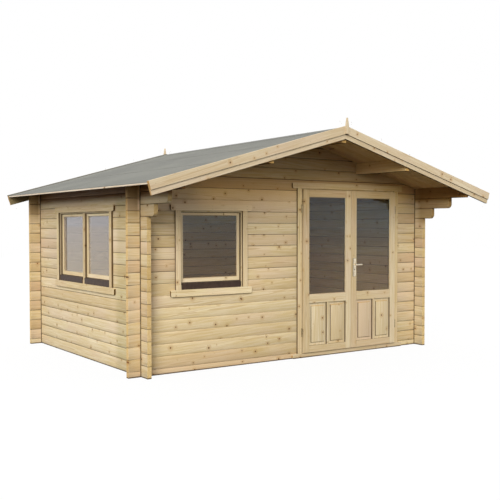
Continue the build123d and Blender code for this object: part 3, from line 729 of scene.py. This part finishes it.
def felt_sheet(mesh, rows, run, thickness, chance):
    """Adds a thin sheet through rows of (place, normal) down a slope, with slight waves along it."""
    steps = 40
    top, bottom = [], []
    for place, normal in rows:
        upper, lower = [], []
        for step in range(steps + 1):
            along = AXES[1] * (run[0] + (run[1] - run[0]) * step / steps)
            wave = chance.uniform(0, FELT_WAVES)
            lower.append(mesh.verts.new(place + along))
            upper.append(mesh.verts.new(place + along + normal * (thickness + wave)))
        top.append(upper)
        bottom.append(lower)
    last = len(rows) - 1
    for r in range(last):
        for c in range(steps):
            mesh.faces.new((top[r][c], top[r][c + 1], top[r + 1][c + 1], top[r + 1][c]))
            mesh.faces.new((bottom[r][c], bottom[r + 1][c], bottom[r + 1][c + 1], bottom[r][c + 1]))
        mesh.faces.new((top[r][0], top[r + 1][0], bottom[r + 1][0], bottom[r][0]))
        mesh.faces.new((top[r][steps], bottom[r][steps], bottom[r + 1][steps], top[r + 1][steps]))
    for c in range(steps):
        mesh.faces.new((top[0][c], bottom[0][c], bottom[0][c + 1], top[0][c + 1]))
        mesh.faces.new((top[last][c], top[last][c + 1], bottom[last][c + 1], bottom[last][c]))


def felt_slope(node, material, nail):
    """A felt slope as lapped sheets, each nailed along its lower edge."""
    start, stop, run, normal = roof_slope(node)
    chance = random.Random(node)
    length = (stop - start).length
    down = (stop - start).normalized()
    show = length / FELT_SHEETS
    mesh = bmesh.new()
    nails = bmesh.new()
    for index in range(FELT_SHEETS):
        upper = max(index * show - FELT_LAP, 0.0)
        lower = (index + 1) * show
        lift = 0.0 if index == FELT_SHEETS - 1 else FELT_THICKNESS * 0.6
        rows = []
        for step in range(9):
            share = step / 8
            height = lift * share - FELT_THICKNESS
            rows.append((start + down * (upper + (lower - upper) * share) + normal * height, normal))
        felt_sheet(mesh, rows, run, FELT_THICKNESS, chance)
        count = round((run[1] - run[0]) / CLOUT_PITCH)
        for step in range(count):
            along = run[0] + (run[1] - run[0]) * (step + 0.5) / count + chance.uniform(-0.01, 0.01)
            place = start + down * (lower - 0.022) + normal * (lift + FELT_WAVES) + AXES[1] * along
            stud(nails, place, normal, CLOUT_RADIUS, NAIL_RISE)
    for sheet in (mesh, nails):
        bmesh.ops.recalc_face_normals(sheet, faces=sheet.faces)
    make_piece(node + "_clouts", nails, nail, body_of[node], edge=0)
    return make_piece(node + "_sheets", mesh, material, body_of[node], node, edge=0)


def felt_ridge(node, material):
    """The strip of felt that folds over the ridge."""
    start, stop, run, normal = roof_slope(node)
    chance = random.Random("ridge")
    down = (stop - start).normalized()
    rows = []
    for share in (-1.0, -0.5, -0.12, 0.0, 0.12, 0.5, 1.0):
        way = Vector((math.copysign(1, share) * abs(down.x), 0, down.z))
        out = Vector((math.copysign(1, share) * abs(normal.x), 0, normal.z))
        if share == 0:
            out = AXES[2]
        place = Vector((0, 0, start.z)) + way * FELT_CAP * abs(share)
        rows.append((place + out * (FELT_THICKNESS * 0.4), out))
    mesh = bmesh.new()
    felt_sheet(mesh, rows, run, FELT_THICKNESS * 0.6, chance)
    bmesh.ops.recalc_face_normals(mesh, faces=mesh.faces)
    return make_piece("ridge_felt", mesh, material, body_of[node], edge=0)


def place_camera():
    """The photograph's camera."""
    data = bpy.data.cameras.new("camera")
    data.sensor_width = SENSOR_WIDTH
    data.lens = FOCAL_PIXELS / IMAGE_WIDTH * SENSOR_WIDTH
    camera = bpy.data.objects.new("camera", data)
    camera.location = CAMERA_PLACE
    camera.rotation_euler = (math.pi / 2 + CAMERA_PITCH, CAMERA_ROLL, -CAMERA_YAW)
    bpy.context.scene.collection.objects.link(camera)
    bpy.context.scene.camera = camera


def seen_rays(nodes, links):
    """One for rays that show the background: from the camera, in gloss and through glass."""
    path = nodes.new("ShaderNodeLightPath")
    total = None
    for name in ("Is Camera Ray", "Is Glossy Ray", "Is Transmission Ray"):
        step = nodes.new("ShaderNodeMath")
        step.operation = "ADD"
        step.use_clamp = True
        links.new(path.outputs[name], step.inputs[0])
        if total is None:
            step.inputs[1].default_value = 0.0
        else:
            links.new(total, step.inputs[1])
        total = step.outputs[0]
    return total


def add_light(name, data, direction):
    """A lamp in the scene that shines along a direction."""
    lamp = bpy.data.objects.new(name, data)
    lamp.rotation_mode = "QUATERNION"
    lamp.rotation_quaternion = Vector(direction).to_track_quat("-Z", "Y")
    bpy.context.scene.collection.objects.link(lamp)
    return lamp


def area_light(name, place, aim, size, radiance, colour):
    """A rectangular lamp of a given radiance that isn't seen itself."""
    data = bpy.data.lights.new(name, "AREA")
    data.shape = "RECTANGLE"
    data.size, data.size_y = size
    data.energy = radiance * math.pi * size[0] * size[1]
    data.color = colour
    lamp = add_light(name, data, aim)
    lamp.location = place
    lamp.visible_camera = False
    lamp.visible_transmission = False
    return lamp


def sun_light(name, strength, azimuth):
    """A broad sun that shines toward an azimuth, measured from +Y."""
    data = bpy.data.lights.new(name, "SUN")
    data.energy = strength
    data.angle = KEY_ANGLE
    level = math.cos(KEY_ELEVATION)
    way = (math.sin(azimuth) * level, math.cos(azimuth) * level, -math.sin(KEY_ELEVATION))
    return add_light(name, data, way)


def object_group(name, objects, state="INCLUDE"):
    """A collection of the objects that a lamp reaches, or leaves out."""
    group = bpy.data.collections.new(name)
    for item in objects:
        group.objects.link(item)
    for member in group.collection_objects:
        member.light_linking.link_state = state
    return group


def light_scene():
    """A soft sky, a broad key light, a weaker one for the far sides, a white background and local lights.

    The side sashes have a sun of their own that passes their panes, so the wood behind the glass is lit.
    """
    side_pane = frame["nodes"]["side_window_glass"]
    world = bpy.data.worlds.new("studio")
    bpy.context.scene.world = world
    world.use_nodes = True
    nodes = world.node_tree.nodes
    links = world.node_tree.links
    sky = nodes["Background"]
    sky.inputs["Strength"].default_value = SKY_STRENGTH
    sky.inputs["Color"].default_value = (1.0, 1.0, 1.0, 1.0)
    white = nodes.new("ShaderNodeBackground")
    white.inputs["Color"].default_value = (1.0, 1.0, 1.0, 1.0)
    mix = nodes.new("ShaderNodeMixShader")
    links.new(seen_rays(nodes, links), mix.inputs[0])
    links.new(sky.outputs[0], mix.inputs[1])
    links.new(white.outputs[0], mix.inputs[2])
    links.new(mix.outputs[0], nodes["World Output"].inputs["Surface"])

    key = sun_light("key", KEY_STRENGTH, KEY_AZIMUTH)
    key.light_linking.receiver_collection = object_group("sunlit", [side_sash], "EXCLUDE")
    rear = sun_light("rear", REAR_STRENGTH, KEY_AZIMUTH + math.pi)
    rear.light_linking.receiver_collection = object_group("far_sides", rear_pieces)
    through = sun_light("through_glass", KEY_STRENGTH, KEY_AZIMUTH)
    through.light_linking.receiver_collection = object_group("side_sash", [side_sash])
    through.light_linking.blocker_collection = object_group("see_through", [side_pane], "EXCLUDE")

    side_panes = object_group("side_panes", [side_pane])
    target = sum((Vector(corner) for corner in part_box("side_window_glass")), Vector()) / 2
    for name, (foot, head, radiance, colour) in CARDS.items():
        place = Vector((*CARD_PLACE, (foot + head) / 2))
        aim = target - place
        aim.z = 0
        card = area_light(name, place, aim, (CARD_WIDTH, head - foot), radiance, colour)
        card.light_linking.receiver_collection = side_panes
    fills = (
        area_light("room_light", ROOM_PLACE, AXES[1], ROOM_SIZE, ROOM_RADIANCE, ROOM_COLOUR),
        area_light("canopy_light", FILL_PLACE, AXES[1], FILL_SIZE, FILL_RADIANCE, FILL_COLOUR),
    )
    for fill in fills:
        fill.visible_glossy = False
    fills[1].data.spread = FILL_SPREAD


def lay_floor():
    """A pale floor that is white to the eye, keeps a soft shadow and sends little light back up."""
    mesh = bmesh.new()
    bmesh.ops.create_grid(mesh, x_segments=1, y_segments=1, size=FLOOR_SIZE / 2)
    data = bpy.data.meshes.new("floor")
    mesh.to_mesh(data)
    mesh.free()
    floor = bpy.data.objects.new("floor", data)
    bpy.context.scene.collection.objects.link(floor)
    material = bpy.data.materials.new("pale_floor")
    material.use_nodes = True
    nodes = material.node_tree.nodes
    links = material.node_tree.links
    nodes.remove(nodes["Principled BSDF"])
    dull = nodes.new("ShaderNodeBsdfDiffuse")
    dull.inputs["Color"].default_value = (FLOOR_BOUNCE, FLOOR_BOUNCE, FLOOR_BOUNCE, 1.0)
    pale = nodes.new("ShaderNodeBsdfDiffuse")
    pale.inputs["Color"].default_value = (0.9, 0.9, 0.9, 1.0)
    glow = nodes.new("ShaderNodeEmission")
    shown = nodes.new("ShaderNodeMixShader")
    shown.inputs[0].default_value = FLOOR_GLOW
    links.new(pale.outputs[0], shown.inputs[1])
    links.new(glow.outputs[0], shown.inputs[2])
    mix = nodes.new("ShaderNodeMixShader")
    links.new(seen_rays(nodes, links), mix.inputs[0])
    links.new(dull.outputs[0], mix.inputs[1])
    links.new(shown.outputs[0], mix.inputs[2])
    links.new(mix.outputs[0], nodes["Material Output"].inputs["Surface"])
    data.materials.append(material)


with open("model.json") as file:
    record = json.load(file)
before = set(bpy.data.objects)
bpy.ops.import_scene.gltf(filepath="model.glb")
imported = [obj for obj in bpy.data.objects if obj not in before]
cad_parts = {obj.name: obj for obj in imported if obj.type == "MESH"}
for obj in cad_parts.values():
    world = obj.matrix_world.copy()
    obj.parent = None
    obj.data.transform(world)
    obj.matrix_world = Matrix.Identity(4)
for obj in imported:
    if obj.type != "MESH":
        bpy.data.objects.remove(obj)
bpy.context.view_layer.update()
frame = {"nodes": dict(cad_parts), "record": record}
body_of = {node: body for body, nodes in frame["record"]["behaviour"]["bodies"].items() for node in nodes}
slot_of = {part["node"]: part["material_slot"] for part in frame["record"]["subparts"]}

logs = (srgb(232, 215, 178), srgb(218, 195, 144), srgb(226, 201, 172))
side_logs = (srgb(232, 217, 184), srgb(218, 197, 150), srgb(226, 203, 178))
# A darker, browner copy of the logs' colours: painted shade on the gables under the roof's overhang
gables = (srgb(212, 189, 144), srgb(198, 168, 112), srgb(206, 174, 134))
trims = (srgb(224, 209, 176), srgb(211, 190, 146), srgb(218, 196, 168))
casings = (srgb(231, 215, 176), srgb(217, 195, 146), srgb(224, 201, 168))
barges = (srgb(217, 202, 172), srgb(204, 184, 148), srgb(212, 191, 169))
fascias = (srgb(230, 218, 196), srgb(217, 201, 172), srgb(223, 205, 184))
# A lighter copy of the trims' colours: painted light on the front window and the side sashes
window_trims = (srgb(244, 229, 192), srgb(230, 209, 160), srgb(237, 215, 183))
boards = (srgb(232, 206, 152), srgb(216, 184, 124), srgb(224, 190, 148))
log_pine = pine("pine_logs", *logs, seam=LOG_SEAM, crossed=True, shades=FRONT_SHADES, end_shade=LOG_END)
left_pine, right_pine = (
    pine(name, *side_logs, seam=LOG_SEAM, crossed=True, shades=shades, end_shade=LOG_END)
    for name, shades in (("pine_left_logs", LEFT_SHADES), ("pine_right_logs", RIGHT_SHADES))
)
gable_pine = pine("pine_gable", *gables, seam=0.9, end_shade=LOG_END)
joinery_pine = pine("pine_joinery", *trims)
opening_pine = pine("pine_openings", *trims, edge=0.75)
window_pine = pine("pine_window", *window_trims, edge=0.75)
sash_pine = pine("pine_sash", *window_trims, edge=0.25)
finial_pine = pine("pine_finial", *barges)
casing_pine = pine("pine_casing", *casings, edge=0.85)
fascia_pine = pine("pine_fascia", *fascias, edge=0.85)
window_casing = pine("pine_window_casing", *window_trims, edge=0.85)
barge_pine = pine("pine_barge", *barges, edge=0.85)
felt_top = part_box("back_barge_boards")[1][2] - VERGE_RISE
# Painted shade on the front-facing faces of the back verge boards below the felt, and the felt turned over
# the back verge drawn as grey above it
verge_shades = (
    ((168, 166, 146), 1.0, (("turn", -0.5, -0.8), ("roof", felt_top + 0.002, felt_top))),
    ((151, 163, 181), 1.0, (("roof", felt_top - 0.002, felt_top),)),
)
back_barge_pine = pine("pine_back_barge", *barges, edge=0.85, shades=verge_shades)
side_sash_pine = pine("pine_side_sash", *window_trims)
panel_pine = pine("pine_panels", *trims, edge=0.8, outline=0.92)
board_pine = pine("pine_boards", *boards, seam=0.95, shades=EAVES_SHADES, end_shade=(244, 228, 196))
finish_of = {
    "pine_wall": log_pine, "pine_trim": joinery_pine,
    "pine_roof": board_pine, "pine_floor": board_pine,
}
special = {
    left_pine: ("left_wall",),
    right_pine: ("right_wall",),
    gable_pine: ("front_gable", "back_gable"),
    panel_pine: ("left_door_panels", "right_door_panels"),
    casing_pine: ("side_window_trim", "door_trim"),
    fascia_pine: ("left_eaves_fascia", "right_eaves_fascia"),
    window_pine: ("front_window_frame",),
    sash_pine: ("front_window_sash",),
    opening_pine: ("side_window_frame", "left_door_frame", "right_door_frame"),
    finial_pine: ("front_finial", "back_finial"),
    window_casing: ("front_window_trim",),
    barge_pine: ("front_barge_boards", "front_barge_cappings"),
    back_barge_pine: ("back_barge_boards", "back_barge_cappings"),
    side_sash_pine: ("side_window_sash",),
}
finish_of.update({node: finish for finish, nodes in special.items() for node in nodes})
bright_steel = brushed_metal("satin_steel", srgb(234, 224, 204), srgb(206, 194, 170), 0.24)
zinc = brushed_metal("zinc", srgb(168, 152, 118), srgb(128, 112, 84), 0.36)
clear = glazing("window_glass", 0.0, srgb(236, 226, 209), srgb(192, 213, 229))
finishes = {"roof_felt": felt(), "clear_glass": clear, "brown_rail": painted_rail(), "steel": zinc}
slabs = {
    "left_roof_deck": (1, ROOF_BOARD_WIDTH),
    "right_roof_deck": (1, ROOF_BOARD_WIDTH),
    "floor_deck": (0, FLOOR_BOARD_WIDTH),
}
# Handle plates with painted shade on their sides
plate_steel = brushed_metal("satin_plate", srgb(232, 220, 196), srgb(204, 190, 162), 0.28, 0.9)
side_glass = glazing("side_glass", 0.22, srgb(220, 206, 184), srgb(216, 210, 210))
special_finish = {
    "lever_handle": bright_steel, "handle_plates": plate_steel, "side_window_glass": side_glass,
}
front, back, left = -AXES[1], AXES[1], -AXES[0]
bevelled = ("left_door_panels", "right_door_panels")
faced = {
    "front_window_frame": front, "front_window_sash": front,
    "left_door_frame": front, "right_door_frame": front,
    "side_window_frame": left, "side_window_sash": left,
}
glazed = {
    "front_window_glass": front, "side_window_glass": left,
    "left_door_glass": front, "right_door_glass": front,
}
nailed = {
    "front_window_trim": front, "side_window_trim": left, "door_trim": front,
    "front_barge_boards": front, "front_barge_cappings": front,
    "back_barge_boards": back, "back_barge_cappings": back,
}

far_sides = (
    "back_wall", "back_gable", "right_wall", "right_eaves_fascia",
    "back_barge_boards", "back_barge_cappings", "back_finial",
)
pieces = {}
for node, slot in slot_of.items():
    if node in slabs:
        sliced_boards(node, *slabs[node], finish_of[slot], slot)
    elif slot in finish_of:
        piece = timber(node, finish_of.get(node, finish_of[slot]))
        pieces[node] = piece
    elif slot == "roof_felt":
        felt_slope(node, finishes[slot], zinc)
    else:
        shown = frame["nodes"][node]
        shown.data.materials.clear()
        shown.data.materials.append(special_finish.get(node, finishes[slot]))
for node, outward in glazed.items():
    glazing_beads(node, outward, joinery_pine)
# Seals round the sashes that also stand for the shade in their gaps, and the painted shade of the keyhole
# and behind the handle plates
seal_and_shade_dark = seal_and_shade_rubber()
sash_seals_and_shade("front_window_sash", front, 1, seal_and_shade_dark)
sash_seals_and_shade("side_window_sash", left, 2, seal_and_shade_dark)
lock_marks("handle_plates", seal_and_shade_dark)
for node, outward in nailed.items():
    board_nails(node, outward, zinc)
felt_ridge("left_roof_felt", finishes["roof_felt"])

rear_pieces = [pieces[node] for node in far_sides]
side_sash = pieces["side_window_sash"]
place_camera()
light_scene()
lay_floor()

bpy.context.scene.view_settings.view_transform = "Standard"
bpy.context.view_layer.update()
